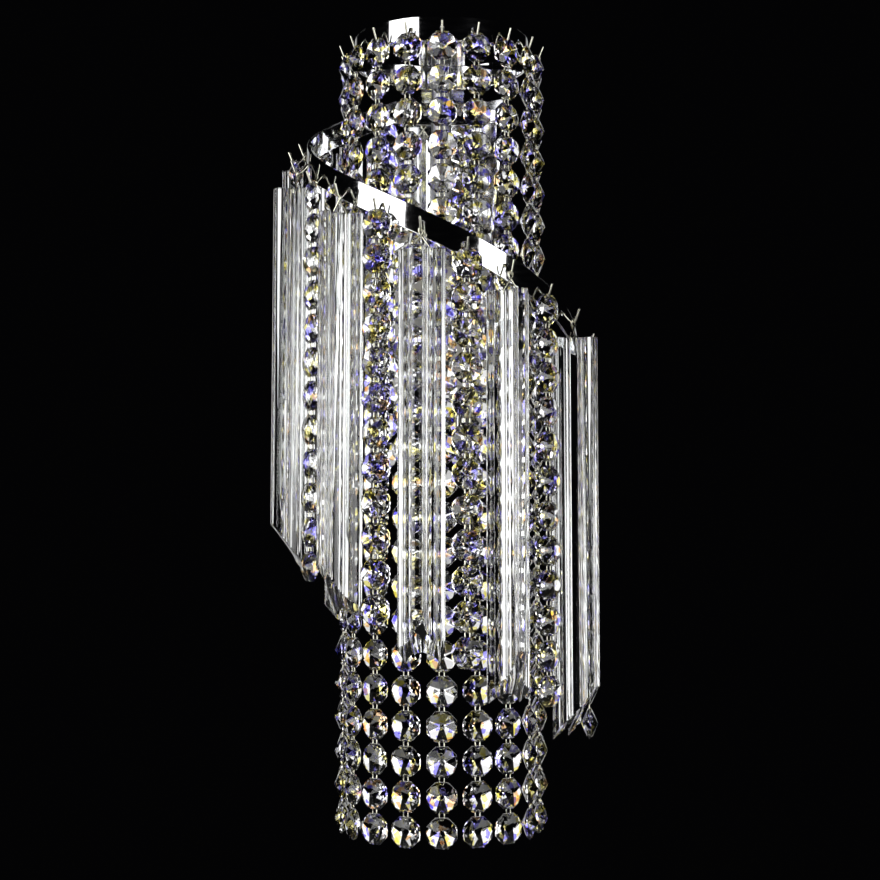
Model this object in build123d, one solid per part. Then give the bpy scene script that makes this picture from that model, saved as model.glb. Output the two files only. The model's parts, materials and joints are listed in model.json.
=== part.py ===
"""Crystal wall sconce: a chrome wall plate carries a ring and a spiral band.

Straight strings of octagon crystals hang round the front and sides of the ring.
Long three-lobed glass prisms and shorter strings hang from the spiral band.
Millimetres, +Z up. The origin is the middle of the wall plate, on the wall.
The wall is the plane y = 0 and the light stands out from it towards -Y.
Angles go round the column: 0 faces the room (-Y), 90 faces +X.
"""
from build123d import *
import math
import os

# Wall plate
PLATE_WIDTH = 80.0
PLATE_HEIGHT = 180.0
PLATE_DEPTH = 20.0
PLATE_WALL = 1.5
PLATE_BEVEL = 1.2

# Fixing behind the plate
BAR_END_GAP = 2.5
BAR_HEIGHT = 22.0
BAR_THICK = 2.0
STUD_DIAMETER = 5.0
STUD_FROM_BAR_END = 6.0
STUD_HOLE_PLAY = 0.2
WALL_HOLE = 5.2
WALL_HOLE_FROM_STUD = 10.0
NUT_ACROSS = 8.0
NUT_HEIGHT = 6.0
NUT_BEVEL = 1.0
TERMINAL_SIZE = (30.0, 14.0, 16.0)
TERMINAL_DROP = 24.0

# Column axis and ring
BAND_TO_PLATE = 24.55
RING_BELOW_PLATE_TOP = 8.0
RING_RADIUS = 43.0
RING_THICK = 1.5
RING_HEIGHT = 12.4

# Spiral band
BAND_RADIUS = 66.7
BAND_THICK = 1.5
BAND_HEIGHT = 12.6
BAND_TOP_DROP = 13.4
BAND_ABOVE_PLATE_FOOT = 7.5
BAND_START_ANGLE = -210.0
SLOPE_START_ANGLE = -157.0
SLOPE_END_ANGLE = 86.0
BAND_END_ANGLE = 163.0
ARM_WIDTH = 8.0
ARM_FROM_PLATE_EDGE = 14.0

# Octagon crystals, each with half of the wire clip at either end
CRYSTAL_ACROSS = 14.0
CRYSTAL_THICK = 8.0
CRYSTAL_GAP = 2.0
CLIP_WIDTH = 3.6
CLIP_PLAY = 0.1

# Strings on the ring and on the band
RING_STRINGS = 11
RING_STRING_CRYSTALS = 24
RING_HANG_OUT = 4.55
RING_HOLE_STEP_ANGLE = 20.0
FIRST_RING_HOLE_ANGLE = -99.2
BAND_STRINGS = 9
BAND_STRING_CRYSTALS = 12
BAND_HANG_OUT = 6.05
BAND_HOLE_STEP_ANGLE = 16.5
FIRST_BAND_HOLE_ANGLE = -188.4

# Wire hooks
HOOK_WIRE = 1.2
STRING_HOOK_DIP = 1.2
PRISM_HOOK_ABOVE_BAND_EDGE = 1.9
HOOK_TIP_OUT = 3.8
HOOK_TIP_RISE = 1.6
HANG_CLEARANCE = 0.3

# Glass prisms and their wire bails
PRISMS = 8
PRISM_LOBES = 3
PRISM_LENGTH = 188.0
PRISM_REACH = 11.3
PRISM_LOBE_WIDTH = 5.4
PRISM_CORE = 4.6
PRISM_DROP = 8.2
PRISM_CUT_ANGLE = 52.0
BAIL_WIRE = 1.0
BAIL_FOOT_SPREAD = 8.0
BAIL_HEAD_WIDTH = 3.4

# Lamp carrier inside the column
BRIDGE_WIDTH = 24.0
BRIDGE_THICK = 2.5
BRIDGE_FOOT = 14.0
STEM_DIAMETER = 10.0
STEM_BORE = 7.0
STEM_LENGTH = 150.0
STEM_FIT = 0.2
STEM_NUT_ACROSS = 14.0
STEM_NUT_HEIGHT = 4.0
BRACKET_SIZE = (46.0, 16.0, 3.0)
HOLDER_SIZE = (18.0, 14.0, 22.0)
HOLDER_OFFSET = 14.0
SOCKET_DEPTH = 7.0
LAMP_DIAMETER = 14.0
LAMP_TIP_BEVEL = 3.0
LAMP_LENGTH = 48.0
LAMP_FOOT = (12.0, 6.0, 12.0)
LAMP_CLEARANCE = 0.3

# Places that follow from the sizes above
FRONT_ANGLE = -90.0
BAR_WIDTH = PLATE_WIDTH - 2 * (PLATE_WALL + BAR_END_GAP)
STUD_SPACING = BAR_WIDTH - 2 * STUD_FROM_BAR_END
WALL_HOLE_SPACING = STUD_SPACING - 2 * WALL_HOLE_FROM_STUD
BAND_OUTER = BAND_RADIUS + BAND_THICK / 2
AXIS_OUT = PLATE_DEPTH + BAND_TO_PLATE + BAND_OUTER
AXIS_Y = -AXIS_OUT
FRONT_OF_PLATE = -PLATE_DEPTH
RING_TOP = PLATE_HEIGHT / 2 - RING_BELOW_PLATE_TOP
BAND_TOP = RING_TOP - BAND_TOP_DROP
BAND_FALL = BAND_TOP + PLATE_HEIGHT / 2 - BAND_HEIGHT - BAND_ABOVE_PLATE_FOOT
ARM_OFFSET = PLATE_WIDTH / 2 - ARM_FROM_PLATE_EDGE
RING_OUTER = RING_RADIUS + RING_THICK / 2
RING_STRING_RADIUS = RING_OUTER + RING_HANG_OUT
BAND_HANG_RADIUS = BAND_OUTER + BAND_HANG_OUT
PRISM_HOOK_DIP = BAND_HEIGHT / 2 - PRISM_HOOK_ABOVE_BAND_EDGE
CRYSTAL_PITCH = CRYSTAL_ACROSS + CRYSTAL_GAP
RING_HOLE_Z = RING_TOP - RING_HEIGHT / 2
BRIDGE_TOP = RING_TOP + BRIDGE_THICK
STEM_BOTTOM = RING_TOP - STEM_LENGTH
CRYSTAL_TIP = (CRYSTAL_PITCH - CLIP_PLAY) / 2
FIRST_CRYSTAL_DROP = HOOK_WIRE / 2 + HANG_CLEARANCE + CRYSTAL_TIP

os.makedirs("parts", exist_ok=True)


def write(shape, name):
    """Write one named piece."""
    export_step(shape, f"parts/{name}.step")


def around(shape, angle, height=0.0):
    """Turn a shape drawn on the -Y side of the column axis round to its angle."""
    return Pos(0, AXIS_Y, height) * Rot(0, 0, angle) * shape


def radial_strip(points, width, thick):
    """A bent strip whose centre line lies in the radial plane, as (out, up) points."""
    return extrude(Plane.YZ * strip_face([(-out, up) for out, up in points], width), thick / 2, both=True)


def strip_face(points, width):
    """A face of constant width about an open centre line."""
    left = []
    right = []
    for index, (x, y) in enumerate(points):
        before = points[max(index - 1, 0)]
        after = points[min(index + 1, len(points) - 1)]
        into = math.atan2(y - before[1], x - before[0])
        out_of = math.atan2(after[1] - y, after[0] - x)
        if index == 0:
            into = out_of
        if index == len(points) - 1:
            out_of = into
        bend = math.remainder(out_of - into, 2 * math.pi)
        side = into + bend / 2 + math.pi / 2
        reach = width / 2 / math.cos(bend / 2)
        left.append((x + reach * math.cos(side), y + reach * math.sin(side)))
        right.append((x - reach * math.cos(side), y - reach * math.sin(side)))
    return make_face(Polyline(*left, *reversed(right), close=True))


def flat_faced_solid(faces):
    """A closed solid from flat faces, each given by its corners."""
    return Solid(Shell([Face(Wire.make_polygon([Vector(*corner) for corner in face])) for face in faces]))


# ---------------------------------------------------------------- wall plate
def wall_plate():
    """A shallow dish, open towards the wall, with a bevelled front edge."""
    body = extrude(Plane.XZ * Rectangle(PLATE_WIDTH, PLATE_HEIGHT), PLATE_DEPTH)
    front = body.faces().sort_by(Axis.Y)[0]
    body = chamfer(front.edges(), PLATE_BEVEL)
    opening = Plane.XZ * Rectangle(PLATE_WIDTH - 2 * PLATE_WALL, PLATE_HEIGHT - 2 * PLATE_WALL)
    body -= extrude(opening, PLATE_DEPTH - PLATE_WALL)
    for x in (-STUD_SPACING / 2, STUD_SPACING / 2):
        body -= Pos(x, FRONT_OF_PLATE, 0) * Rot(90, 0, 0) * Cylinder(
            STUD_DIAMETER / 2 + STUD_HOLE_PLAY, 4 * PLATE_WALL)
    return body


def mounting_bar():
    """The steel bar that is screwed to the wall behind the plate."""
    bar = Pos(0, -BAR_THICK / 2, 0) * Box(BAR_WIDTH, BAR_THICK, BAR_HEIGHT)
    bar = chamfer(bar.edges().filter_by(Axis.Y), BAR_HEIGHT / 5)
    for x in (-WALL_HOLE_SPACING / 2, WALL_HOLE_SPACING / 2):
        bar -= Pos(x, 0, 0) * Rot(90, 0, 0) * Cylinder(WALL_HOLE / 2, 4 * BAR_THICK)
    return bar


def plate_studs():
    """Two studs that stand on the bar and reach through the plate to its nuts."""
    length = PLATE_DEPTH - BAR_THICK
    studs = []
    for x in (-STUD_SPACING / 2, STUD_SPACING / 2):
        middle = -BAR_THICK - length / 2
        studs.append(Pos(x, middle, 0) * Rot(90, 0, 0) * Cylinder(STUD_DIAMETER / 2, length))
    return Compound(studs)


def cap_nuts():
    """Two closed hexagon nuts on the ends of the studs, in front of the plate."""
    nut = extrude(RegularPolygon(NUT_ACROSS / 2, 6, major_radius=False), NUT_HEIGHT)
    nut = chamfer(nut.faces().sort_by(Axis.Z)[-1].edges(), NUT_BEVEL)
    nuts = []
    for x in (-STUD_SPACING / 2, STUD_SPACING / 2):
        nuts.append(Pos(x, FRONT_OF_PLATE, 0) * Rot(90, 0, 0) * nut)
    return Compound(nuts)


def terminal_block():
    """The terminal block on the bar, where the house wiring ends."""
    width, depth, height = TERMINAL_SIZE
    block = Box(width, depth, height)
    for x in (-width / 3, 0, width / 3):
        block -= Pos(x, 0, -height / 2) * Box(width / 6, depth / 3, height)
    tab = Pos(0, (depth - BAR_THICK) / 2, height / 2) * Box(width / 2, BAR_THICK, height)
    drop = TERMINAL_DROP
    return Pos(0, -BAR_THICK - depth / 2, -drop) * (block + tab)


# ------------------------------------------------------------- ring and band
def hook(start_radius, hang_radius, dip):
    """A wire hook from a band's outer face: down, out, and up to a free tip."""
    flat = HOOK_WIRE * 0.75
    points = [
        (start_radius - BAND_THICK / 2, 0),
        (hang_radius - flat, -dip),
        (hang_radius + flat, -dip),
        (hang_radius + HOOK_TIP_OUT, HOOK_TIP_RISE),
    ]
    return radial_strip(points, HOOK_WIRE, HOOK_WIRE)


def ring_string_angle(index):
    """The angle of one of the strings on the ring."""
    return FIRST_RING_HOLE_ANGLE + index * RING_HOLE_STEP_ANGLE


def top_ring():
    """The polished ring with its hooks, one for each string of the column."""
    outer = Cylinder(RING_OUTER, RING_HEIGHT)
    inner = Cylinder(RING_RADIUS - RING_THICK / 2, 2 * RING_HEIGHT)
    ring = Pos(0, AXIS_Y, RING_HOLE_Z) * (outer - inner)
    one_hook = hook(RING_OUTER, RING_STRING_RADIUS, STRING_HOOK_DIP)
    hooks = [around(one_hook, ring_string_angle(n), RING_HOLE_Z) for n in range(RING_STRINGS)]
    return ring.fuse(*hooks)


def band_middle(angle):
    """The height of the middle of the spiral band at an angle."""
    fallen = (angle - SLOPE_START_ANGLE) / (SLOPE_END_ANGLE - SLOPE_START_ANGLE)
    fallen = min(max(fallen, 0.0), 1.0)
    return BAND_TOP - BAND_HEIGHT / 2 - BAND_FALL * fallen


def band_plan(start, end):
    """The band seen from above between two angles."""
    bow = CenterArc((0, 0), BAND_OUTER, FRONT_ANGLE + start, end - start)
    back = CenterArc((0, 0), BAND_OUTER - BAND_THICK, FRONT_ANGLE + start, end - start)
    return make_face([bow, back, Line(bow @ 0, back @ 0), Line(bow @ 1, back @ 1)])


def level_band(start, end):
    """A level stretch of the band between two angles."""
    stretch = extrude(band_plan(start, end), BAND_HEIGHT / 2, both=True)
    return Pos(0, AXIS_Y, band_middle(end)) * stretch


def sloping_band():
    """The stretch that winds down round the front of the light."""
    turn = SLOPE_END_ANGLE - SLOPE_START_ANGLE
    lower_edges = []
    for radius in (BAND_RADIUS - BAND_THICK, BAND_RADIUS + BAND_THICK):
        lower_edges.append(Helix(BAND_FALL * 360 / turn, BAND_FALL, radius, lefthand=True).edge())
    underside = Face.make_surface_from_curves(*lower_edges)
    ribbon = extrude(underside, BAND_HEIGHT, dir=(0, 0, 1))
    ribbon = Rot(0, 0, FRONT_ANGLE + SLOPE_END_ANGLE) * ribbon
    height = BAND_FALL + BAND_HEIGHT
    wall = extrude(band_plan(SLOPE_START_ANGLE, SLOPE_END_ANGLE), height)
    low = band_middle(SLOPE_END_ANGLE) - BAND_HEIGHT / 2
    return Pos(0, AXIS_Y, low) * (wall & ribbon)


def band_hole_angle(index):
    """The angle of one of the evenly spaced hooks on the band."""
    return FIRST_BAND_HOLE_ANGLE + index * BAND_HOLE_STEP_ANGLE


def band_string_angle(index):
    """Strings take every other place on the band, from the first."""
    return band_hole_angle(2 * index)


def prism_angle(index):
    """Prisms take the places between the strings."""
    return band_hole_angle(2 * index + 1)


def spiral_band():
    """The spiral band with a hook for each string and prism."""
    parts = [
        level_band(BAND_START_ANGLE, SLOPE_START_ANGLE),
        level_band(SLOPE_END_ANGLE, BAND_END_ANGLE),
    ]
    string_hook = hook(BAND_OUTER, BAND_HANG_RADIUS, STRING_HOOK_DIP)
    prism_hook = hook(BAND_OUTER, BAND_HANG_RADIUS, PRISM_HOOK_DIP)
    for index in range(BAND_STRINGS):
        angle = band_string_angle(index)
        parts.append(around(string_hook, angle, band_middle(angle)))
    for index in range(PRISMS):
        angle = prism_angle(index)
        parts.append(around(prism_hook, angle, band_middle(angle)))
    return sloping_band().fuse(*parts)


def band_arms():
    """Two flat arms that carry the ends of the band from the wall plate."""
    seat = math.sqrt(BAND_OUTER**2 - ARM_OFFSET**2) - ARM_WIDTH
    length = AXIS_OUT - PLATE_DEPTH - seat
    arms = []
    for height in (band_middle(SLOPE_START_ANGLE), band_middle(SLOPE_END_ANGLE)):
        arm = Pos(ARM_OFFSET, FRONT_OF_PLATE - length / 2, height) * Box(
            ARM_WIDTH, length, BAND_HEIGHT)
        arms.append(arm - Pos(0, AXIS_Y, height) * Cylinder(BAND_OUTER, 2 * BAND_HEIGHT))
    return Compound(arms)


# ------------------------------------------------------- strings of crystals
def crystal():
    """An octagon crystal, upright and facing -Y, with a clip's half at each end."""
    side = CRYSTAL_ACROSS / 2
    corner = side * math.tan(math.pi / 8)
    clip = CLIP_WIDTH / 2
    rim = [(side, corner), (clip, CRYSTAL_TIP), (-clip, CRYSTAL_TIP), (-side, corner),
           (-side, -corner), (-clip, -CRYSTAL_TIP), (clip, -CRYSTAL_TIP), (side, -corner)]
    front = (0, -CRYSTAL_THICK / 2, 0)
    back = (0, CRYSTAL_THICK / 2, 0)
    faces = []
    for index, (x, z) in enumerate(rim):
        next_x, next_z = rim[(index + 1) % 8]
        faces.append(((x, 0, z), (next_x, 0, next_z), front))
        faces.append(((next_x, 0, next_z), (x, 0, z), back))
    return flat_faced_solid(faces)


def string(count):
    """A straight string hanging from the height 0, drawn on the axis."""
    one_crystal = crystal()
    pieces = []
    for index in range(count):
        height = -FIRST_CRYSTAL_DROP - index * CRYSTAL_PITCH
        pieces.append(Pos(0, 0, height) * one_crystal)
    return Compound(pieces)


def ring_strings():
    """The strings of the column, left to right, just under the dips of their hooks."""
    one = Pos(0, -RING_STRING_RADIUS, 0) * string(RING_STRING_CRYSTALS)
    for index in range(RING_STRINGS):
        piece = around(one, ring_string_angle(index), RING_HOLE_Z - STRING_HOOK_DIP)
        write(piece, f"ring_string_{index + 1:02d}")


def band_strings():
    """The shorter strings on the spiral band."""
    one = Pos(0, -BAND_HANG_RADIUS, 0) * string(BAND_STRING_CRYSTALS)
    for index in range(BAND_STRINGS):
        angle = band_string_angle(index)
        piece = around(one, angle, band_middle(angle) - STRING_HOOK_DIP)
        write(piece, f"band_string_{index + 1}")


# -------------------------------------------------------------- glass prisms
def prism_section():
    """Three lobes, one straight outwards, with hollow flutes between them."""
    half = PRISM_LOBE_WIDTH / 2
    corners = []
    for lobe in range(PRISM_LOBES):
        turn = math.radians(FRONT_ANGLE + 360 / PRISM_LOBES * lobe)
        for along, across in ((PRISM_CORE * 1.25, -half), (PRISM_REACH, -half),
                              (PRISM_REACH, half), (PRISM_CORE * 1.25, half)):
            x = along * math.cos(turn) - across * math.sin(turn)
            y = along * math.sin(turn) + across * math.cos(turn)
            corners.append((x, y))
        valley = turn + math.pi / PRISM_LOBES
        corners.append((PRISM_CORE * math.cos(valley), PRISM_CORE * math.sin(valley)))
    return make_face(Polyline(*corners, close=True))


def prism():
    """A prism with its top at height 0 and a slanting foot, short on the outside."""
    bar = extrude(prism_section(), -PRISM_LENGTH)
    back_of_section = PRISM_REACH * math.cos(math.pi / 3) + PRISM_LOBE_WIDTH / 2
    size = 8 * PRISM_REACH
    knife = Pos(0, 0, -size / 2) * Box(size, size, size)
    foot = Pos(0, back_of_section, -PRISM_LENGTH) * Rot(-PRISM_CUT_ANGLE, 0, 0) * knife
    return bar - foot


def bail():
    """The wire over the hook, with a foot each side on the prism's top."""
    foot = BAIL_FOOT_SPREAD / 2
    head = BAIL_HEAD_WIDTH / 2
    rise = HOOK_WIRE / 2 + HANG_CLEARANCE + BAIL_WIRE / 2
    points = [(-foot, -PRISM_DROP), (-head, rise), (head, rise), (foot, -PRISM_DROP)]
    wire = extrude(Plane.XZ * strip_face(points, BAIL_WIRE), BAIL_WIRE / 2, both=True)
    below = Pos(0, 0, -PRISM_DROP - PRISM_DROP / 2) * Box(4 * foot, 4 * foot, PRISM_DROP)
    return wire - below


def prisms_and_bails():
    """The prisms on the band, each hung with its weight under its hook."""
    glass = prism()
    glass = Pos(0, -glass.center().Y, -PRISM_DROP) * glass
    glass = Pos(0, -BAND_HANG_RADIUS, 0) * glass
    wire = Pos(0, -BAND_HANG_RADIUS, 0) * bail()
    for index in range(PRISMS):
        angle = prism_angle(index)
        height = band_middle(angle) - PRISM_HOOK_DIP
        write(around(glass, angle, height), f"prism_{index + 1}")
        write(around(wire, angle, height), f"prism_bail_{index + 1}")


# -------------------------------------------------------------- lamp carrier
def lamp_bridge():
    """A strap from the wall plate over the ring, with a hole for the stem."""
    half = BRIDGE_WIDTH / 2
    length = AXIS_OUT - PLATE_DEPTH
    strap = Pos(0, FRONT_OF_PLATE - length / 2, BRIDGE_TOP - BRIDGE_THICK / 2) * Box(
        BRIDGE_WIDTH, length, BRIDGE_THICK)
    nose = Pos(0, AXIS_Y - half / 2, BRIDGE_TOP - BRIDGE_THICK / 2) * Box(
        BRIDGE_WIDTH, half, BRIDGE_THICK)
    front = nose.faces().sort_by(Axis.Y)[0]
    nose = chamfer(front.edges().filter_by(Axis.Z), half / 2)
    foot = Pos(0, FRONT_OF_PLATE - BRIDGE_THICK / 2, BRIDGE_TOP - BRIDGE_FOOT / 2) * Box(
        BRIDGE_WIDTH, BRIDGE_THICK, BRIDGE_FOOT)
    hole = Pos(0, AXIS_Y, BRIDGE_TOP) * Cylinder(STEM_DIAMETER / 2 + STEM_FIT, 4 * BRIDGE_THICK)
    return strap + nose + foot - hole


def lamp_stem():
    """The threaded tube that hangs in the middle of the column."""
    top = BRIDGE_TOP + STEM_NUT_HEIGHT + BRIDGE_THICK / 2
    length = top - STEM_BOTTOM
    tube = Cylinder(STEM_DIAMETER / 2, length) - Cylinder(STEM_BORE / 2, 2 * length)
    return Pos(0, AXIS_Y, STEM_BOTTOM + length / 2) * tube


def lamp_stem_nut():
    """The hexagon nut that holds the stem on the bridge."""
    nut = extrude(RegularPolygon(STEM_NUT_ACROSS / 2, 6, major_radius=False), STEM_NUT_HEIGHT)
    nut -= Cylinder(STEM_DIAMETER / 2, 4 * STEM_NUT_HEIGHT)
    return Pos(0, AXIS_Y, BRIDGE_TOP) * nut


def lamp_bracket():
    """The cross piece under the stem, with a lamp holder at each end."""
    width, depth, thick = BRACKET_SIZE
    plate = Pos(0, AXIS_Y, STEM_BOTTOM - thick / 2) * Box(width, depth, thick)
    plate = chamfer(plate.edges().filter_by(Axis.Z), depth / 3)
    return plate - Pos(0, AXIS_Y, STEM_BOTTOM) * Cylinder(STEM_BORE / 2, 4 * thick)


def facing_up_and_down(shape):
    """One copy that stands on the bracket and one that hangs under it."""
    under = BRACKET_SIZE[2]
    up = Pos(-HOLDER_OFFSET, AXIS_Y, STEM_BOTTOM) * shape
    down = Pos(HOLDER_OFFSET, AXIS_Y, STEM_BOTTOM - under) * Rot(180, 0, 0) * shape
    return up, down


def lamp_holders():
    """Two ceramic lamp holders, each with a flat socket."""
    width, depth, height = HOLDER_SIZE
    foot_width, foot_depth, _ = LAMP_FOOT
    body = Pos(0, 0, height / 2) * Box(width, depth, height)
    body = chamfer(body.edges().filter_by(Axis.Z), depth / 5)
    socket = Box(foot_width + 2 * LAMP_CLEARANCE, foot_depth + 2 * LAMP_CLEARANCE, 2 * SOCKET_DEPTH)
    body -= Pos(0, 0, height) * socket
    return Compound(list(facing_up_and_down(body)))


def lamps():
    """Two plug-in capsule lamps, each a round glass on a flat pinched foot."""
    foot_width, foot_depth, foot_height = LAMP_FOOT
    tall = LAMP_LENGTH - foot_height
    glass = Pos(0, 0, foot_height + tall / 2) * Cylinder(LAMP_DIAMETER / 2, tall)
    glass = chamfer(glass.faces().sort_by(Axis.Z)[-1].edges(), LAMP_TIP_BEVEL)
    lamp = glass + Pos(0, 0, foot_height / 2) * Box(foot_width, foot_depth, foot_height)
    floor = HOLDER_SIZE[2] - SOCKET_DEPTH
    upper, lower = facing_up_and_down(Pos(0, 0, floor) * lamp)
    write(upper, "lamp_upper")
    write(lower, "lamp_lower")


write(wall_plate(), "wall_plate")
write(mounting_bar(), "mounting_bar")
write(plate_studs(), "plate_studs")
write(cap_nuts(), "cap_nuts")
write(terminal_block(), "terminal_block")
write(top_ring(), "top_ring")
write(spiral_band(), "spiral_band")
write(band_arms(), "band_arms")
ring_strings()
band_strings()
prisms_and_bails()
write(lamp_bridge(), "lamp_bridge")
write(lamp_stem(), "lamp_stem")
write(lamp_stem_nut(), "lamp_stem_nut")
write(lamp_bracket(), "lamp_bracket")
write(lamp_holders(), "lamp_holders")
lamps()
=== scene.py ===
"""Dresses the crystal wall sconce: cut crystals, striped prisms, chrome and wire.

Metres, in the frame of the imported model. Angles go round the column of crystals:
0 faces the room (-Y) and 90 faces +X.
"""
import json
import math
import random

import bmesh
import bpy
from mathutils import Matrix, Vector


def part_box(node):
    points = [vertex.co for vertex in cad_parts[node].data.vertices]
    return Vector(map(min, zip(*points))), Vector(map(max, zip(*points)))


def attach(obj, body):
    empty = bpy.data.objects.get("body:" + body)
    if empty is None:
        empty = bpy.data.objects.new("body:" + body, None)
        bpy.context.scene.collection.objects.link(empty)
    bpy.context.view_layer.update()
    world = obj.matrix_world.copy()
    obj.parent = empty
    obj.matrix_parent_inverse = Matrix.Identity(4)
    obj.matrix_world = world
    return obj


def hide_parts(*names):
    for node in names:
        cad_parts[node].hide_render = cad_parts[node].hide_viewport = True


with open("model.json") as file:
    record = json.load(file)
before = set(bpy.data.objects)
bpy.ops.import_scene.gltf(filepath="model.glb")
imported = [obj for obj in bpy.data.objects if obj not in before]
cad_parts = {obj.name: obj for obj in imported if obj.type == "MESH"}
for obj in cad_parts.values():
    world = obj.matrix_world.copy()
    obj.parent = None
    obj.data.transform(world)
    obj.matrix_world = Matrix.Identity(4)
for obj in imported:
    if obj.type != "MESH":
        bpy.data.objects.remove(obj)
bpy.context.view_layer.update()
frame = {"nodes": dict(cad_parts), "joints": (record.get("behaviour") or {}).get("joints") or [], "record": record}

MM = 0.001

# Column axis, from the stem on it, and the two chrome strips
STEM_LOW, STEM_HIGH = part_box("lamp_stem")
AXIS = Vector(((STEM_LOW.x + STEM_HIGH.x) / 2, (STEM_LOW.y + STEM_HIGH.y) / 2, 0))
RING_LOW, RING_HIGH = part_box("top_ring")
STRIP_THICK = 1.5 * MM
STRIP_ROUND = 0.35 * MM
RING_RADIUS = 43.0 * MM
RING_TOP = RING_HIGH.z
RING_HEIGHT = RING_HIGH.z - RING_LOW.z
BAND_RADIUS = 66.7 * MM
BAND_HEIGHT = 12.6 * MM
BAND_LOW, BAND_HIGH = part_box("spiral_band")
BAND_START, SLOPE_START, SLOPE_END, BAND_END = -210.0, -157.0, 86.0, 163.0
HOLE_RADIUS = 1.1 * MM

# Hooks
HOOK_WIRE = 1.15 * MM
HOOK_DROP = 4.5 * MM
HOOK_TIP_OUT = 3.3 * MM
HOOK_BEND = 1.6 * MM

# Crystals
CRYSTAL_ACROSS = 14.0 * MM
CRYSTAL_THICK = 8.0 * MM
CRYSTAL_PITCH = 16.0 * MM
CRYSTAL_GIRDLE = 1.5 * MM
CRYSTAL_WEDGE_SHARE = 0.88
CLIP_WIRE = 0.65 * MM
CLIP_WIDTH = 2.3 * MM
CLIP_INTO = 1.5 * MM

# Degrees that strings and crystals turn by chance: strings at the sides of the column turn most
STRING_TWIST, CRYSTAL_TWIST, CRYSTAL_NOD = 8.0, 4.0, 2.0
SIDE_TWIST = 18.0
BAND_TWIST = 2.0
SIDE_FROM = 50.0
FIRST_SEED = 7

# Capsule lamps
LAMP_GLASS = 0.6 * MM
LAMP_FOOT = (12.0 * MM, 6.0 * MM, 12.0 * MM)
COIL_TURNS = 14
COIL_RADIUS = 1.3 * MM
COIL_WIRE = 0.35 * MM
COIL_STEPS = 12
LAMP_SIDES = 32

# Prisms
PRISM_REACH = 11.3 * MM
PRISM_LOBE = 6.0 * MM
PRISM_VALLEY = 4.4 * MM
PRISM_ROUND = 0.9 * MM
PRISM_CUT = 52.0
BAIL_WIRE = 0.95 * MM
BAIL_SPREAD = 8.0 * MM
BAIL_BEND = 0.9 * MM

# Edges sharper than these angles stay crisp
STRIP_CREASE, PRISM_CREASE, LAMP_CREASE, WIRE_CREASE, CLIP_CREASE = 12, 32, 40, 50, 65

# Studio: each soft light as angle, distance, height, width, tall and glow
LIGHT_HALF_SPREAD = math.radians(38)
MIRRORED_LIGHTS = {
    "key_left": (-50, 1.1, -0.02, 0.85, 1.0, 5.0),
    "fill_right": (42, 1.1, -0.15, 0.44, 0.8, 5.0),
}
UNMIRRORED_LIGHTS = {
    "side_left": (-100, 0.9, -0.1, 0.35, 1.1, 3.2),
    "side_right": (100, 0.9, -0.1, 0.35, 1.1, 3.4),
    "back_left": (-152, 0.9, -0.1, 0.34, 1.0, 1.7),
    "back_right": (152, 0.9, -0.1, 0.40, 1.0, 1.9),
}
TOP_LIGHT = (0, 0.35, 1.0, 0.5, 0.5, 5.0)
TOP_LIGHT_FACING = Vector((0, 0.2, -1))
WALL_SIDE_LIGHT = (180, 1.2, 0.05, 1.3, 1.3, 0.9)
SURROUNDINGS = (0.001, 0.001, 0.0012, 1)
FLOOR_HALF, FLOOR_BACK, FLOOR_DROP = 3.0, 0.6, 0.75

# Camera of the photograph, from the column's axis
SENSOR = 36.0
LENS = 64.92
SHIFT_X, SHIFT_Y = -0.0139, -0.0568
CAMERA_FROM_AXIS = Vector((0.00546, -0.78779, -0.16071))
CAMERA_PITCH = 4.78

STRINGS = [j for j in frame["joints"] if "string" in j["name"]]
PRISMS = [j for j in frame["joints"] if j["name"].startswith("prism")]
ROOT = "fixture"


# ------------------------------------------------------------------ materials
def new_material(name, **values):
    """A Principled material with the values set on the shader's own sockets."""
    material = bpy.data.materials.new(name)
    material.use_nodes = True
    shader = material.node_tree.nodes["Principled BSDF"]
    for socket, value in values.items():
        shader.inputs[socket.replace("_", " ")].default_value = value
    return material, material.node_tree, shader


def texture(tree, kind, scale, stretch=(1, 1, 1), **values):
    """A procedural texture on object coordinates, stretched along the axes."""
    where = tree.nodes.new("ShaderNodeTexCoord")
    mapping = tree.nodes.new("ShaderNodeMapping")
    mapping.inputs["Scale"].default_value = stretch
    made = tree.nodes.new(kind)
    made.inputs["Scale"].default_value = scale
    for socket, value in values.items():
        made.inputs[socket].default_value = value
    tree.links.new(where.outputs["Object"], mapping.inputs["Vector"])
    tree.links.new(mapping.outputs["Vector"], made.inputs["Vector"])
    return made


def ramp(tree, factor, stops):
    """A colour ramp with the given (position, colour) stops."""
    made = tree.nodes.new("ShaderNodeValToRGB")
    while len(made.color_ramp.elements) < len(stops):
        made.color_ramp.elements.new(0.5)
    for element, (position, colour) in zip(made.color_ramp.elements, stops):
        element.position = position
        element.color = (*colour, 1)
    tree.links.new(factor, made.inputs["Fac"])
    return made


def grey(value):
    """A grey colour."""
    return (value, value, value)


def bump(tree, shader, height, strength, distance):
    """Bumps the surface by a height."""
    made = tree.nodes.new("ShaderNodeBump")
    made.inputs["Strength"].default_value = strength
    made.inputs["Distance"].default_value = distance
    tree.links.new(height, made.inputs["Height"])
    tree.links.new(made.outputs["Normal"], shader.inputs["Normal"])


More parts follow.
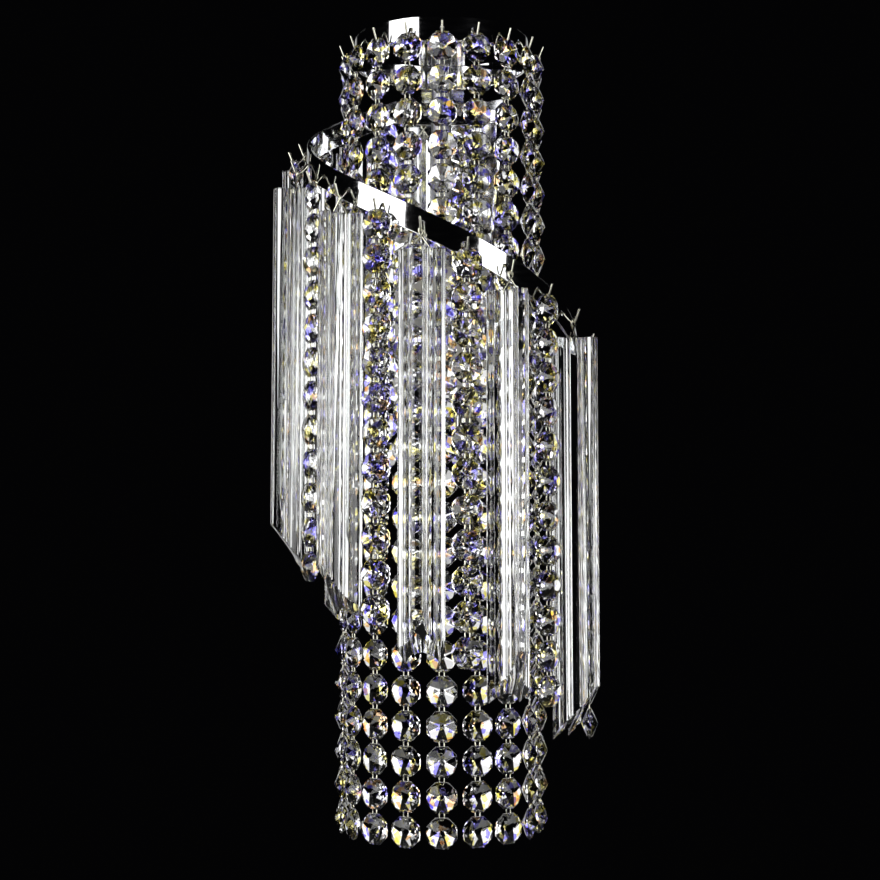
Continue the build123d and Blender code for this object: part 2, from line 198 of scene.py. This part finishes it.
def chrome():
    """Mirror chrome with faint polishing marks."""
    material, tree, shader = new_material("chrome", Metallic=1.0)
    marks = texture(tree, "ShaderNodeTexNoise", 90, (1, 1, 6), Detail=6)
    gloss = ramp(tree, marks.outputs["Fac"], [(0.3, grey(0.035)), (0.75, grey(0.11))])
    tone = ramp(tree, marks.outputs["Fac"], [(0.3, (0.86, 0.87, 0.89)), (0.7, (0.93, 0.93, 0.94))])
    tree.links.new(gloss.outputs["Color"], shader.inputs["Roughness"])
    tree.links.new(tone.outputs["Color"], shader.inputs["Base Color"])
    bump(tree, shader, marks.outputs["Fac"], 0.05, 0.0002)
    return material


def brushed(name, dark, light, scale, rough):
    """Plated steel with fine drawn lines."""
    material, tree, shader = new_material(name, Metallic=1.0)
    lines = texture(tree, "ShaderNodeTexNoise", scale, (1, 8, 8), Detail=5)
    tone = ramp(tree, lines.outputs["Fac"], [(0.3, dark), (0.7, light)])
    gloss = ramp(tree, lines.outputs["Fac"], [(0.3, grey(rough * 0.7)), (0.7, grey(rough * 1.3))])
    tree.links.new(tone.outputs["Color"], shader.inputs["Base Color"])
    tree.links.new(gloss.outputs["Color"], shader.inputs["Roughness"])
    bump(tree, shader, lines.outputs["Fac"], 0.15, 0.0002)
    return material


def plain(name, dark, light, rough, scale=300):
    """A moulded or glazed surface with a slight mottle."""
    material, tree, shader = new_material(name, Roughness=rough)
    mottle = texture(tree, "ShaderNodeTexNoise", scale, Detail=4)
    tone = ramp(tree, mottle.outputs["Fac"], [(0.35, dark), (0.65, light)])
    tree.links.new(tone.outputs["Color"], shader.inputs["Base Color"])
    bump(tree, shader, mottle.outputs["Fac"], 0.2, 0.0003)
    return material


def crystal_glass():
    """Clear lead crystal: small patches of painted colour stand in for the blue, yellow and red flashes of light
    that its cut facets throw.
    """
    material, tree, shader = new_material(
        "crystal", Transmission_Weight=1.0, IOR=1.6, Roughness=0.0)
    # Painted coloured light: blue, yellow and red patches in the clear glass's colour stand in for the flashes of
    # its fire
    painted_fire_patches = texture(tree, "ShaderNodeTexVoronoi", 330)
    clear = (1.0, 1.0, 1.0)
    tone = ramp(tree, painted_fire_patches.outputs["Color"], [
        (0.0, clear), (0.26, (0.14, 0.12, 1.0)), (0.335, clear), (0.55, (1.0, 0.86, 0.14)),
        (0.63, clear), (0.69, (1.0, 0.42, 0.12)), (0.715, clear)])
    tone.color_ramp.interpolation = "CONSTANT"
    tree.links.new(tone.outputs["Color"], shader.inputs["Base Color"])
    return material


def prism_glass():
    """Pressed clear glass with fine upright lines."""
    material, tree, shader = new_material(
        "prism_glass", Transmission_Weight=1.0, IOR=1.52, Roughness=0.0)
    fine = texture(tree, "ShaderNodeTexNoise", 900, (1, 1, 0.004), Detail=2)
    tone = ramp(tree, fine.outputs["Fac"], [(0.3, (0.94, 0.97, 0.96)), (0.7, (1, 1, 1))])
    tree.links.new(tone.outputs["Color"], shader.inputs["Base Color"])
    bump(tree, shader, fine.outputs["Fac"], 0.035, 0.0005)
    return material


def lamp_glass():
    """Clear capsule glass with a faint warm tint and slight waves."""
    material, tree, shader = new_material(
        "lamp_glass", Transmission_Weight=1.0, IOR=1.47, Roughness=0.02)
    waves = texture(tree, "ShaderNodeTexNoise", 120, (1, 1, 0.4), Detail=2)
    tone = ramp(tree, waves.outputs["Fac"], [(0.3, (0.97, 0.96, 0.92)), (0.7, (1, 1, 0.99))])
    tree.links.new(tone.outputs["Color"], shader.inputs["Base Color"])
    bump(tree, shader, waves.outputs["Fac"], 0.1, 0.0004)
    return material


MATERIALS = {
    "chrome": chrome(),
    "zinc_steel": brushed("zinc_steel", (0.42, 0.43, 0.45), (0.62, 0.63, 0.64), 160, 0.32),
    "wire": brushed("wire", (0.78, 0.76, 0.62), (0.95, 0.93, 0.80), 400, 0.18),
    "crystal": crystal_glass(),
    "prism_glass": prism_glass(),
    "terminal_plastic": plain("terminal_plastic", (0.80, 0.80, 0.77), (0.88, 0.88, 0.85), 0.45),
    "ceramic": plain("ceramic", (0.82, 0.80, 0.74), (0.92, 0.90, 0.85), 0.25),
    "lamp_glass": lamp_glass(),
}


# --------------------------------------------------------------------- pieces
def finish_piece(piece, slot, body, *nodes):
    """Gives a piece its material and slot, the body it rides and the nodes it stands for."""
    piece.data.materials.append(MATERIALS[slot])
    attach(piece, body)
    if nodes:
        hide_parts(*nodes)


def mesh_piece(name, mesh):
    """An object made of a mesh and linked into the scene."""
    piece = bpy.data.objects.new(name, mesh)
    bpy.context.scene.collection.objects.link(piece)
    return piece


def mesh_from(name, vertices, faces):
    """A mesh with outward faces."""
    mesh = bpy.data.meshes.new(name)
    mesh.from_pydata([tuple(v) for v in vertices], [], faces)
    work = bmesh.new()
    work.from_mesh(mesh)
    bmesh.ops.recalc_face_normals(work, faces=work.faces)
    work.to_mesh(mesh)
    work.free()
    return mesh


def smooth(mesh, degrees):
    """Smooth shading with edges sharper than an angle kept crisp."""
    work = bmesh.new()
    work.from_mesh(mesh)
    for face in work.faces:
        face.smooth = True
    for edge in work.edges:
        edge.smooth = len(edge.link_faces) == 2 and edge.calc_face_angle() < math.radians(degrees)
    work.to_mesh(mesh)
    work.free()


def at_angle(angle, radius, height, tangent=0.0):
    """A point of the light: round the axis, out from it and up, then along the tangent."""
    turn = math.radians(angle)
    out = Vector((math.sin(turn), -math.cos(turn), 0))
    along = Vector((math.cos(turn), math.sin(turn), 0))
    return AXIS + out * radius + along * tangent + Vector((0, 0, height))


def angle_of(joint):
    """The angle round the column at which a joint's piece hangs."""
    out = Vector(joint["pos_m"]) - AXIS
    return math.degrees(math.atan2(out.x, -out.y))


def radius_of(joint):
    """How far from the column's axis a joint's piece hangs."""
    return (Vector(joint["pos_m"]) - AXIS).to_2d().length


def tube(points, width, sides=6, closed=False):
    """Vertices and faces of a round wire along points."""
    vertices, faces = [], []
    count = len(points)
    side = None
    for index, point in enumerate(points):
        if closed:
            along = points[(index + 1) % count] - points[index - 1]
        else:
            along = points[min(index + 1, count - 1)] - points[max(index - 1, 0)]
        along.normalize()
        if side is None:
            side = along.orthogonal().normalized()
        side = (side - along * side.dot(along)).normalized()
        other = along.cross(side)
        for step in range(sides):
            turn = 2 * math.pi * step / sides
            vertices.append(point + (side * math.cos(turn) + other * math.sin(turn)) * width / 2)
    for index in range(count if closed else count - 1):
        here = index * sides
        following = (index + 1) % count * sides
        for step in range(sides):
            after = (step + 1) % sides
            faces.append((here + step, here + after, following + after, following + step))
    if not closed:
        faces.append(tuple(range(sides)))
        faces.append(tuple((count - 1) * sides + step for step in reversed(range(sides))))
    return vertices, faces


def rounded_path(corners, radius, steps=4):
    """Points along straight runs whose corners are rounded."""
    points = [corners[0]]
    for before, corner, after in zip(corners, corners[1:], corners[2:]):
        reach = min(radius, (before - corner).length / 2, (after - corner).length / 2)
        start = corner + (before - corner).normalized() * reach
        end = corner + (after - corner).normalized() * reach
        for step in range(steps + 1):
            t = step / steps
            points.append(start * (1 - t) ** 2 + corner * 2 * t * (1 - t) + end * t**2)
    points.append(corners[-1])
    return points


class Batch:
    """Collects shapes that become one mesh."""

    def __init__(self):
        self.vertices = []
        self.faces = []

    def add(self, shape, place=Matrix.Identity(4)):
        vertices, faces = shape
        first = len(self.vertices)
        self.vertices += [place @ Vector(v) for v in vertices]
        self.faces += [tuple(first + index for index in face) for face in faces]

    def mesh(self, name):
        return mesh_from(name, self.vertices, self.faces)


# ------------------------------------------------------------- chrome strips
def band_middle(angle):
    """The height of the middle of the spiral band at an angle."""
    fallen = (angle - SLOPE_START) / (SLOPE_END - SLOPE_START)
    fallen = min(max(fallen, 0.0), 1.0)
    top = BAND_HIGH.z - BAND_HEIGHT / 2
    bottom = BAND_LOW.z + BAND_HEIGHT / 2
    return top + (bottom - top) * fallen


def strip_section(height):
    """The rounded section of a chrome strip, as (out, up) points."""
    half_thick, half_height = STRIP_THICK / 2, height / 2
    points = []
    for side_out, side_up, first in ((1, 1, 0), (-1, 1, 90), (-1, -1, 180), (1, -1, 270)):
        centre = (side_out * (half_thick - STRIP_ROUND), side_up * (half_height - STRIP_ROUND))
        for step in range(4):
            turn = math.radians(first + 30 * step)
            points.append((centre[0] + STRIP_ROUND * math.cos(turn),
                           centre[1] + STRIP_ROUND * math.sin(turn)))
    return points


def strip(name, radius, height, start, end, middle, hole_angles):
    """A chrome strip round the axis between two angles, with its hook holes."""
    section = strip_section(height)
    closed = end - start >= 360
    steps = math.ceil((end - start) / 1.5)
    vertices, faces = [], []
    for index in range(steps if closed else steps + 1):
        angle = start + (end - start) * index / steps
        for out, up in section:
            vertices.append(at_angle(angle, radius + out, middle(angle) + up))
    count = len(section)
    for index in range(steps):
        here = index * count
        following = (index + 1) % (steps if closed else steps + 1) * count
        for step in range(count):
            after = (step + 1) % count
            faces.append((here + step, here + after, following + after, following + step))
    if not closed:
        faces.append(tuple(range(count)))
        faces.append(tuple(steps * count + step for step in reversed(range(count))))
    piece = mesh_piece(name, mesh_from(name, vertices, faces))
    drill = Batch()
    for angle in hole_angles:
        ends = [at_angle(angle, radius + out, middle(angle)) for out in (-4 * MM, 4 * MM)]
        drill.add(tube(ends, 2 * HOLE_RADIUS, sides=20))
    drill_piece = mesh_piece(name + "_drill", drill.mesh(name + "_drill"))
    cut = piece.modifiers.new("holes", "BOOLEAN")
    cut.object = drill_piece
    cut.solver = "EXACT"
    bpy.context.view_layer.update()
    evaluated = piece.evaluated_get(bpy.context.evaluated_depsgraph_get())
    ready = bpy.data.meshes.new_from_object(evaluated)
    piece.modifiers.clear()
    piece.data = ready
    bpy.data.objects.remove(drill_piece)
    smooth(piece.data, STRIP_CREASE)
    return piece


def hook(angle, strip_radius, hang_radius, height):
    """A round wire hook: out of its hole, down to the dip and up to a free tip."""
    start_radius = strip_radius + STRIP_THICK / 2
    corners = [
        at_angle(angle, start_radius - 2.6 * MM, height - 0.3 * MM),
        at_angle(angle, start_radius + 1.0 * MM, height + 0.5 * MM),
        at_angle(angle, start_radius + 2.2 * MM, height - 1.5 * MM),
        at_angle(angle, hang_radius - 0.9 * MM, height - HOOK_DROP),
        at_angle(angle, hang_radius + 0.9 * MM, height - HOOK_DROP),
        at_angle(angle, hang_radius + HOOK_TIP_OUT, height + 1.4 * MM),
    ]
    return tube(rounded_path(corners, HOOK_BEND), HOOK_WIRE, sides=8)


def ring_and_band():
    """The ring and the spiral band with their holes and hooks."""
    ring_joints = [j for j in STRINGS if radius_of(j) < BAND_RADIUS]
    band_joints = [j for j in STRINGS + PRISMS if radius_of(j) > BAND_RADIUS]
    middle = RING_TOP - RING_HEIGHT / 2
    ring = strip("ring_strip", RING_RADIUS, RING_HEIGHT, 0, 360, lambda angle: middle,
                 [angle_of(j) for j in ring_joints])
    finish_piece(ring, "chrome", ROOT, "top_ring")
    batch = Batch()
    for joint in ring_joints:
        batch.add(hook(angle_of(joint), RING_RADIUS, radius_of(joint), middle))
    band_angles = {}
    for joint in band_joints:
        angle = angle_of(joint)
        pivot = joint["pos_m"][2]
        turned = min((angle - 360, angle), key=lambda a: abs(pivot + 3 * MM - band_middle(a)))
        band_angles[joint["name"]] = turned
    band = strip("band_strip", BAND_RADIUS, BAND_HEIGHT, BAND_START, BAND_END, band_middle,
                 list(band_angles.values()))
    finish_piece(band, "chrome", ROOT, "spiral_band")
    for joint in band_joints:
        angle = band_angles[joint["name"]]
        batch.add(hook(angle, BAND_RADIUS, radius_of(joint), band_middle(angle)))
    mesh = batch.mesh("hooks")
    smooth(mesh, WIRE_CREASE)
    finish_piece(mesh_piece("hooks", mesh), "wire", ROOT)


# ------------------------------------------------------------------- crystals
def crystal():
    """A 14 mm octagon crystal standing upright: kites round a point, with rim facets."""
    apothem = CRYSTAL_ACROSS / 2
    corner = apothem / math.cos(math.pi / 8)
    half = CRYSTAL_THICK / 2
    rim_mid = CRYSTAL_GIRDLE / 2
    rim_corner = CRYSTAL_GIRDLE / 5
    inner = CRYSTAL_WEDGE_SHARE * apothem
    slope = (half - rim_mid) / apothem
    inner_depth = half - slope * inner * math.cos(math.pi / 8)
    vertices, faces = [], []

    def point(radius, turn, depth):
        vertices.append((radius * math.cos(turn), depth, radius * math.sin(turn)))
        return len(vertices) - 1

    sides = []
    for sign in (-1, 1):
        centre = point(0, 0, sign * half)
        mids = [point(apothem, math.pi / 4 * k, sign * rim_mid) for k in range(8)]
        corners = [point(corner, math.pi / 4 * (k + 0.5), sign * rim_corner) for k in range(8)]
        inners = [point(inner, math.pi / 4 * (k + 0.5), sign * inner_depth) for k in range(8)]
        for k in range(8):
            after = (k + 1) % 8
            faces.append((centre, inners[k - 1], mids[k], inners[k]))
            faces.append((inners[k], mids[k], corners[k]))
            faces.append((inners[k], corners[k], mids[after]))
        sides.append((mids, corners))
    (front_mids, front_corners), (back_mids, back_corners) = sides
    for k in range(8):
        after = (k + 1) % 8
        faces.append((front_mids[k], front_corners[k], back_corners[k], back_mids[k]))
        faces.append((front_corners[k], front_mids[after], back_mids[after], back_corners[k]))
    return vertices, faces


def clip():
    """The wire loop from the foot of one crystal to the head of the next."""
    half_width = CLIP_WIDTH / 2
    top = -CRYSTAL_ACROSS / 2 + CLIP_INTO
    bottom = CRYSTAL_ACROSS / 2 - CRYSTAL_PITCH - CLIP_INTO
    points = []
    for centre, first in ((top - half_width, 0), (bottom + half_width, 180)):
        for step in range(5):
            turn = math.radians(first + 45 * step)
            up = centre + half_width * math.sin(turn)
            points.append(Vector((half_width * math.cos(turn), 0, up)))
    return tube(points, CLIP_WIRE, sides=6, closed=True)


def string_meshes(count, first_drop, twist, chance):
    """The crystals and the clips of a string, drawn under the origin and facing -Y."""
    crystals, clips = Batch(), Batch()
    one_crystal, one_clip = crystal(), clip()
    lean = chance.uniform(-twist, twist)
    turns = [lean + chance.uniform(-CRYSTAL_TWIST, CRYSTAL_TWIST) for _ in range(count)]
    for index in range(count):
        down = Matrix.Translation((0, 0, -first_drop - index * CRYSTAL_PITCH))
        nod = Matrix.Rotation(math.radians(chance.uniform(-CRYSTAL_NOD, CRYSTAL_NOD)), 4, "X")
        crystals.add(one_crystal, down @ Matrix.Rotation(math.radians(turns[index]), 4, "Z") @ nod)
        if index < count - 1:
            between = math.radians((turns[index] + turns[index + 1]) / 2)
            clips.add(one_clip, down @ Matrix.Rotation(between, 4, "Z"))
    clip_mesh = clips.mesh("clips")
    smooth(clip_mesh, CLIP_CREASE)
    return crystals.mesh("crystals"), clip_mesh


def strings():
    """Every string of crystals, hung where its node hangs."""
    for number, joint in enumerate(STRINGS):
        node = joint["child"].removesuffix("_body")
        low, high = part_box(node)
        count = round((high.z - low.z) / CRYSTAL_PITCH)
        pivot = Vector(joint["pos_m"])
        first_drop = pivot.z - (low.z + CRYSTAL_PITCH / 2 + (count - 1) * CRYSTAL_PITCH)
        on_ring = radius_of(joint) < BAND_RADIUS
        on_side = abs(angle_of(joint)) > SIDE_FROM
        twist = (SIDE_TWIST if on_side else STRING_TWIST) if on_ring else BAND_TWIST
        made = string_meshes(count, first_drop, twist, random.Random(number + FIRST_SEED))
        place = Matrix.Translation(pivot) @ Matrix.Rotation(math.radians(angle_of(joint)), 4, "Z")
        for mesh, slot, nodes in zip(made, ("crystal", "wire"), ((node,), ())):
            mesh.transform(place)
            finish_piece(mesh_piece(f"{node}_{slot}", mesh), slot, joint["child"], *nodes)


# --------------------------------------------------------------------- prisms
def arc_through(start, middle, end, steps):
    """Points of the circle from start to end by way of middle, without its ends."""
    ax, ay, bx, by, cx, cy = *start, *middle, *end
    d = 2 * (ax * (by - cy) + bx * (cy - ay) + cx * (ay - by))
    a2, b2, c2 = ax * ax + ay * ay, bx * bx + by * by, cx * cx + cy * cy
    centre = Vector(((a2 * (by - cy) + b2 * (cy - ay) + c2 * (ay - by)) / d,
                     (a2 * (cx - bx) + b2 * (ax - cx) + c2 * (bx - ax)) / d))
    radius = (Vector(start) - centre).length
    first = math.atan2(ay - centre.y, ax - centre.x)
    last = math.atan2(cy - centre.y, cx - centre.x)
    sweep = math.remainder(last - first, 2 * math.pi)
    turns = [first + sweep * k / steps for k in range(1, steps)]
    return [centre + radius * Vector((math.cos(turn), math.sin(turn))) for turn in turns]


def prism_section():
    """Three lobes with rounded ends and hollow flutes between them; one points to -Y."""
    half = PRISM_LOBE / 2
    points = []
    for lobe in range(3):
        turn = math.radians(-90 + 120 * lobe)
        axis = Vector((math.cos(turn), math.sin(turn)))
        side = Vector((-math.sin(turn), math.cos(turn)))
        ends = []
        for sign in (-1, 1):
            centre = axis * (PRISM_REACH - PRISM_ROUND) + side * sign * (half - PRISM_ROUND)
            bow = [centre + PRISM_ROUND * (axis * math.cos(t) + side * sign * math.sin(t))
                   for t in (math.radians(a) for a in (0, 30, 60, 90))]
            ends.append(bow)
        points += list(reversed(ends[0])) + ends[1]
        valley_turn = turn + math.pi / 3
        valley = PRISM_VALLEY * Vector((math.cos(valley_turn), math.sin(valley_turn)))
        next_turn = turn + 2 * math.pi / 3
        next_axis = Vector((math.cos(next_turn), math.sin(next_turn)))
        next_side = Vector((-math.sin(next_turn), math.cos(next_turn)))
        start = axis * (PRISM_REACH - PRISM_ROUND) + side * half
        end = next_axis * (PRISM_REACH - PRISM_ROUND) - next_side * half
        points += arc_through(start, valley, end, 14)
    return points


def prism_mesh(length, shift):
    """A prism with its top at height 0 and its slanting foot short on the outside."""
    section = prism_section()
    back = max(point.y for point in section)
    count = len(section)
    rise = math.tan(math.radians(PRISM_CUT))
    vertices = [(point.x, point.y + shift, 0) for point in section]
    vertices += [(point.x, point.y + shift, -length + (back - point.y) * rise) for point in section]
    faces = [(k, (k + 1) % count, count + (k + 1) % count, count + k) for k in range(count)]
    faces += [tuple(range(count)), tuple(reversed(range(count, 2 * count)))]
    mesh = mesh_from("prism", vertices, faces)
    work = bmesh.new()
    work.from_mesh(mesh)
    ends = [edge for edge in work.edges if any(len(face.verts) > 4 for face in edge.link_faces)]
    bmesh.ops.bevel(work, geom=ends, offset=0.35 * MM, segments=2, affect="EDGES", profile=0.6)
    bmesh.ops.triangulate(work, faces=[face for face in work.faces if len(face.verts) > 4])
    work.to_mesh(mesh)
    work.free()
    smooth(mesh, PRISM_CREASE)
    return mesh


def bail(drop):
    """Two wire legs that start apart on the prism, cross and hang together on the hook."""
    batch = Batch()
    foot = BAIL_SPREAD / 2
    for sign in (-1, 1):
        lean = 0.55 * sign * MM
        corners = [
            Vector((sign * foot, lean, -drop - 2.0 * MM)),
            Vector((sign * foot, lean, -drop + 0.4 * MM)),
            Vector((-sign * 1.0 * MM, lean, -0.9 * MM)),
            Vector((-sign * 0.8 * MM, lean * 0.6, 0.9 * MM)),
            Vector((sign * 0.5 * MM, 0, 1.1 * MM)),
        ]
        batch.add(tube(rounded_path(corners, BAIL_BEND), BAIL_WIRE, sides=8))
    mesh = batch.mesh("bail")
    smooth(mesh, WIRE_CREASE)
    return mesh


def prisms():
    """Every prism with its bail, hung where its node hangs."""
    first = PRISMS[0]
    low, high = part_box("prism_1")
    length = high.z - low.z
    pivot = Vector(first["pos_m"])
    drop = pivot.z - high.z
    out = (pivot - AXIS).to_2d().normalized()
    reach = max((v.co - pivot).to_2d().dot(out) for v in frame["nodes"]["prism_1"].data.vertices)
    glass = prism_mesh(length, PRISM_REACH - reach)
    wire = bail(drop)
    glass.materials.append(MATERIALS["prism_glass"])
    wire.materials.append(MATERIALS["wire"])
    for number, joint in enumerate(PRISMS, 1):
        turn = Matrix.Rotation(math.radians(angle_of(joint)), 4, "Z")
        place = Matrix.Translation(joint["pos_m"]) @ turn
        glass_here, wire_here = glass.copy(), wire.copy()
        glass_here.transform(place @ Matrix.Translation((0, 0, -drop)))
        wire_here.transform(place)
        piece = mesh_piece(f"prism_glass_{number}", glass_here)
        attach(piece, joint["child"])
        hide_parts(f"prism_{number}")
        loop = mesh_piece(f"bail_wire_{number}", wire_here)
        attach(loop, joint["child"])
        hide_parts(f"prism_bail_{number}")


# ---------------------------------------------------------------------- lamps
def turned(profile, sides=LAMP_SIDES):
    """Vertices and faces of a profile of (radius, height) points turned round Z."""
    vertices, faces = [], []
    for radius, height in profile:
        for step in range(sides):
            turn = 2 * math.pi * step / sides
            vertices.append((radius * math.cos(turn), radius * math.sin(turn), height))
    for row in range(len(profile) - 1):
        for step in range(sides):
            after = (step + 1) % sides
            faces.append((row * sides + step, row * sides + after,
                          (row + 1) * sides + after, (row + 1) * sides + step))
    return vertices, faces


def lamp_envelope(radius, length):
    """The outer and inner faces of the glass, from the pinch over the foot to the pip."""
    foot = LAMP_FOOT[2]
    dome = radius * 0.9
    outer = [(LAMP_FOOT[1] / 2, foot - 1 * MM), (radius * 0.8, foot + 1 * MM), (radius, foot + 4 * MM)]
    outer += [(max(radius * math.cos(t), 1.0 * MM), length - dome - 1 * MM + dome * math.sin(t))
              for t in (math.radians(a) for a in range(0, 90, 15))]
    outer += [(0.9 * MM, length - 0.8 * MM), (0.4 * MM, length)]
    inner = [(max(r - LAMP_GLASS, 0.1 * MM), z - (LAMP_GLASS if z > foot + 5 * MM else -LAMP_GLASS))
             for r, z in outer[:-1]]
    glass = Batch()
    for profile in (outer, inner):
        vertices, faces = turned(profile)
        last = len(vertices)
        faces += [tuple(range(LAMP_SIDES)), tuple(reversed(range(last - LAMP_SIDES, last)))]
        glass.add((vertices, faces))
    return glass


def lamp_foot():
    """The ceramic foot, a block with rounded corners."""
    base = Batch()
    half_wide, half_deep, tall = LAMP_FOOT[0] / 2, LAMP_FOOT[1] / 2, LAMP_FOOT[2]
    corner = 1.2 * MM
    outline = []
    for sx, sy, first in ((1, 1, 0), (-1, 1, 90), (-1, -1, 180), (1, -1, 270)):
        for t in (math.radians(first + 30 * k) for k in range(4)):
            outline.append((sx * (half_wide - corner) + corner * math.cos(t),
                            sy * (half_deep - corner) + corner * math.sin(t)))
    count = len(outline)
    vertices = [(x, y, 0) for x, y in outline] + [(x, y, tall) for x, y in outline]
    faces = [(k, (k + 1) % count, count + (k + 1) % count, count + k) for k in range(count)]
    faces += [tuple(reversed(range(count))), tuple(range(count, 2 * count))]
    base.add((vertices, faces))
    return base


def lamp_filament(radius, length):
    """The coiled filament and the two wires that hold it over the foot."""
    coil = Batch()
    foot = LAMP_FOOT[2]
    first, last = foot + 9 * MM, length - radius * 0.9 - 4 * MM
    steps = COIL_TURNS * COIL_STEPS
    helix = []
    for k in range(steps + 1):
        turn = 2 * math.pi * k / COIL_STEPS
        height = first + (last - first) * k / steps
        helix.append(Vector((COIL_RADIUS * math.cos(turn), COIL_RADIUS * math.sin(turn), height)))
    holder_wire = COIL_WIRE * 1.6
    side = Vector((-radius * 0.6, 0, 0))
    coil.add(tube(helix, COIL_WIRE, sides=5))
    coil.add(tube([Vector((COIL_RADIUS, 0, foot)), helix[0]], holder_wire))
    coil.add(tube([helix[-1], side + Vector((0, 0, last)), side + Vector((0, 0, foot))], holder_wire))
    return coil


def lamp(node, joint, direction):
    """A capsule lamp on its body: its tip points up for a direction of 1 and down for -1."""
    low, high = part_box(node)
    length = high.z - low.z
    radius = (high.x - low.x) / 2
    foot_end = low.z if direction > 0 else high.z
    place = Matrix.Translation(((low.x + high.x) / 2, (low.y + high.y) / 2, foot_end))
    if direction < 0:
        place = place @ Matrix.Rotation(math.pi, 4, "X")
    parts = ((lamp_envelope(radius, length), "glass", "lamp_glass", (node,)),
             (lamp_foot(), "foot", "ceramic", ()),
             (lamp_filament(radius, length), "filament", "wire", ()))
    for batch, part, material, nodes in parts:
        mesh = batch.mesh(f"{node}_{part}")
        smooth(mesh, LAMP_CREASE)
        piece = mesh_piece(f"{node}_{part}", mesh)
        piece.matrix_world = place
        finish_piece(piece, material, joint["child"], *nodes)


def lamps():
    """The two lamps, each on the body that pulls out of its holder."""
    for joint in frame["joints"]:
        if joint["name"].startswith("lamp_"):
            direction = 1 if "upper" in joint["name"] else -1
            lamp(joint["child"].removesuffix("_body"), joint, direction)


# ------------------------------------------------------------ carried-over CAD
def carried_over():
    """Gives the CAD nodes their materials and smooth shading; their hard edges are split already."""
    slots = {part["node"]: part["material_slot"] for part in frame["record"]["subparts"]}
    for node, piece in frame["nodes"].items():
        piece.data.materials.clear()
        piece.data.materials.append(MATERIALS[slots[node]])
        for polygon in piece.data.polygons:
            polygon.use_smooth = True


# ---------------------------------------------------------------------- stage
def softbox(name, angle, distance, height, width, tall, glow, in_mirrors=True, facing=None):
    """A soft rectangular light that faces the column's axis; its face is as bright as glow."""
    light = bpy.data.lights.new(name, "AREA")
    light.shape = "RECTANGLE"
    light.size, light.size_y = width, tall
    narrowing = 1 - LIGHT_HALF_SPREAD / math.tan(LIGHT_HALF_SPREAD)
    light.spread = 2 * LIGHT_HALF_SPREAD
    light.energy = glow * math.pi * width * tall * narrowing
    lamp = bpy.data.objects.new(name, light)
    bpy.context.scene.collection.objects.link(lamp)
    turn = math.radians(angle)
    out = Vector((math.sin(turn) * distance, -math.cos(turn) * distance, 0))
    lamp.location = AXIS + out + Vector((0, 0, height))
    lamp.rotation_euler = (facing or -out).to_track_quat("-Z", "Y").to_euler()
    lamp.visible_camera = False
    lamp.visible_glossy = in_mirrors
    return lamp


def stage():
    """The pale floor, the dark surroundings and the soft studio light."""
    corners = [(-FLOOR_HALF, -FLOOR_HALF, -FLOOR_DROP), (FLOOR_HALF, -FLOOR_HALF, -FLOOR_DROP),
               (FLOOR_HALF, FLOOR_BACK, -FLOOR_DROP), (-FLOOR_HALF, FLOOR_BACK, -FLOOR_DROP)]
    floor = mesh_piece("floor", mesh_from("floor", corners, [(0, 1, 2, 3)]))
    material = plain("floor_paper", (0.70, 0.70, 0.69), (0.76, 0.76, 0.75), 0.8, scale=6)
    floor.data.materials.append(material)
    world = bpy.data.worlds.new("studio")
    world.use_nodes = True
    world.node_tree.nodes["Background"].inputs["Color"].default_value = SURROUNDINGS
    bpy.context.scene.world = world
    for name, values in MIRRORED_LIGHTS.items():
        softbox(name, *values)
    for name, values in UNMIRRORED_LIGHTS.items():
        softbox(name, *values, in_mirrors=False)
    softbox("top", *TOP_LIGHT, in_mirrors=False, facing=TOP_LIGHT_FACING)
    wall_side = softbox("wall_side", *WALL_SIDE_LIGHT)
    wall_side.visible_transmission = False


def camera():
    """The photograph's camera: in front of the light, below its middle, looking up."""
    data = bpy.data.cameras.new("camera")
    data.sensor_width = SENSOR
    data.lens = LENS
    data.shift_x = SHIFT_X
    data.shift_y = SHIFT_Y
    made = bpy.data.objects.new("camera", data)
    bpy.context.scene.collection.objects.link(made)
    made.location = AXIS + CAMERA_FROM_AXIS
    made.rotation_euler = (math.radians(90 + CAMERA_PITCH), 0, 0)
    bpy.context.scene.camera = made


bpy.context.scene.view_settings.view_transform = "Standard"
carried_over()
ring_and_band()
strings()
prisms()
lamps()
stage()
camera()
